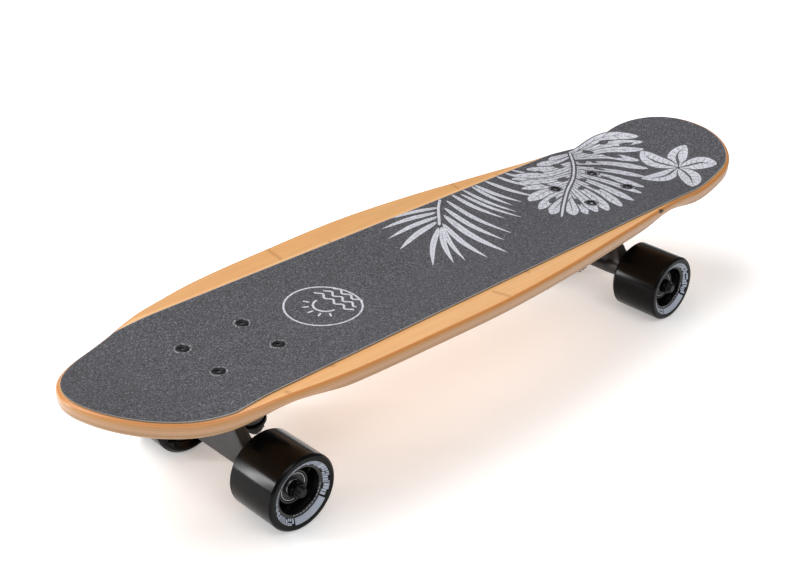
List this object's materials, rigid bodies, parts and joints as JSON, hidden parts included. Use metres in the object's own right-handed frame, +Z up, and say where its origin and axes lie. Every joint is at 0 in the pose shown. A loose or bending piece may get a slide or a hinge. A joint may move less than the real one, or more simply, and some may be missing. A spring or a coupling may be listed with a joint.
{
  "type": "cruiser skateboard",
  "caption": "Short bamboo cruiser skateboard with a kicktail, printed grip tape, steering trucks and free-rolling urethane wheels with spoked cores.",
  "frame": {"origin": "on the ground, under the middle of the board's length and width", "axes": "+X from the nose to the kicktail, +Y across the board, +Z up"},
  "size_m": [0.712, 0.194, 0.1337],
  "materials": {
    "bamboo": "clear satin lacquer",
    "grip": "silicon carbide grit",
    "urethane": "gloss cast urethane",
    "core": "moulded nylon",
    "cast": "black powder coat on cast aluminium",
    "steel": "zinc plated",
    "black_steel": "black oxide",
    "rubber": "moulded, satin"
  },
  "bodies": {
    "board": {"deck": "bamboo", "grip_tape": "grip", "front_riser_pad": "rubber", "front_baseplate": "cast", "front_pivot_cup": "rubber", "front_kingpin": "steel", "front_kingpin_nut": "black_steel", "front_bushing_board_side": "rubber", "front_bushing_road_side": "rubber", "front_washer_board_side": "black_steel", "front_washer_road_side": "black_steel", "mounting_bolt_front_1": "black_steel", "lock_nut_front_1": "steel", "mounting_bolt_front_2": "black_steel", "lock_nut_front_2": "steel", "mounting_bolt_front_3": "black_steel", "lock_nut_front_3": "steel", "mounting_bolt_front_4": "black_steel", "lock_nut_front_4": "steel", "rear_riser_pad": "rubber", "rear_baseplate": "cast", "rear_pivot_cup": "rubber", "rear_kingpin": "steel", "rear_kingpin_nut": "black_steel", "rear_bushing_board_side": "rubber", "rear_bushing_road_side": "rubber", "rear_washer_board_side": "black_steel", "rear_washer_road_side": "black_steel", "mounting_bolt_rear_1": "black_steel", "lock_nut_rear_1": "steel", "mounting_bolt_rear_2": "black_steel", "lock_nut_rear_2": "steel", "mounting_bolt_rear_3": "black_steel", "lock_nut_rear_3": "steel", "mounting_bolt_rear_4": "black_steel", "lock_nut_rear_4": "steel"},
    "wheel_front_left": {"tyre_front_left": "urethane", "core_front_left": "core", "bearing_front_left_outer": "steel", "bearing_front_left_inner": "steel"},
    "wheel_front_right": {"tyre_front_right": "urethane", "core_front_right": "core", "bearing_front_right_outer": "steel", "bearing_front_right_inner": "steel"},
    "front_truck_hanger": {"front_hanger": "cast", "front_axle": "steel", "axle_nut_front_left": "black_steel", "axle_nut_front_right": "black_steel"},
    "wheel_rear_left": {"tyre_rear_left": "urethane", "core_rear_left": "core", "bearing_rear_left_outer": "steel", "bearing_rear_left_inner": "steel"},
    "wheel_rear_right": {"tyre_rear_right": "urethane", "core_rear_right": "core", "bearing_rear_right_outer": "steel", "bearing_rear_right_inner": "steel"},
    "rear_truck_hanger": {"rear_hanger": "cast", "rear_axle": "steel", "axle_nut_rear_left": "black_steel", "axle_nut_rear_right": "black_steel"}
  },
  "joints": [
    {"name": "front_steer", "type": "hinge", "parent": "board", "child": "front_truck_hanger", "pos_m": [-0.24284, 0, 0.079], "axis": [0.8157, 0, -0.5785], "range_deg": [-12, 12], "stiffness_Nm_per_rad": 40, "deforming": ["front_bushing_board_side", "front_bushing_road_side"]},
    {"name": "rear_steer", "type": "hinge", "parent": "board", "child": "rear_truck_hanger", "pos_m": [0.23116, 0, 0.079], "axis": [-0.8157, 0, -0.5785], "range_deg": [-12, 12], "stiffness_Nm_per_rad": 40, "deforming": ["rear_bushing_board_side", "rear_bushing_road_side"]},
    {"name": "front_left_wheel_spin", "type": "hinge", "parent": "front_truck_hanger", "child": "wheel_front_left", "pos_m": [-0.22954, 0.0642, 0.0303], "axis": [0, 1, 0], "continuous": true},
    {"name": "front_right_wheel_spin", "type": "hinge", "parent": "front_truck_hanger", "child": "wheel_front_right", "pos_m": [-0.22954, -0.0642, 0.0303], "axis": [0, 1, 0], "continuous": true},
    {"name": "rear_left_wheel_spin", "type": "hinge", "parent": "rear_truck_hanger", "child": "wheel_rear_left", "pos_m": [0.21786, 0.0642, 0.0303], "axis": [0, 1, 0], "continuous": true},
    {"name": "rear_right_wheel_spin", "type": "hinge", "parent": "rear_truck_hanger", "child": "wheel_rear_right", "pos_m": [0.21786, -0.0642, 0.0303], "axis": [0, 1, 0], "continuous": true}
  ]
}
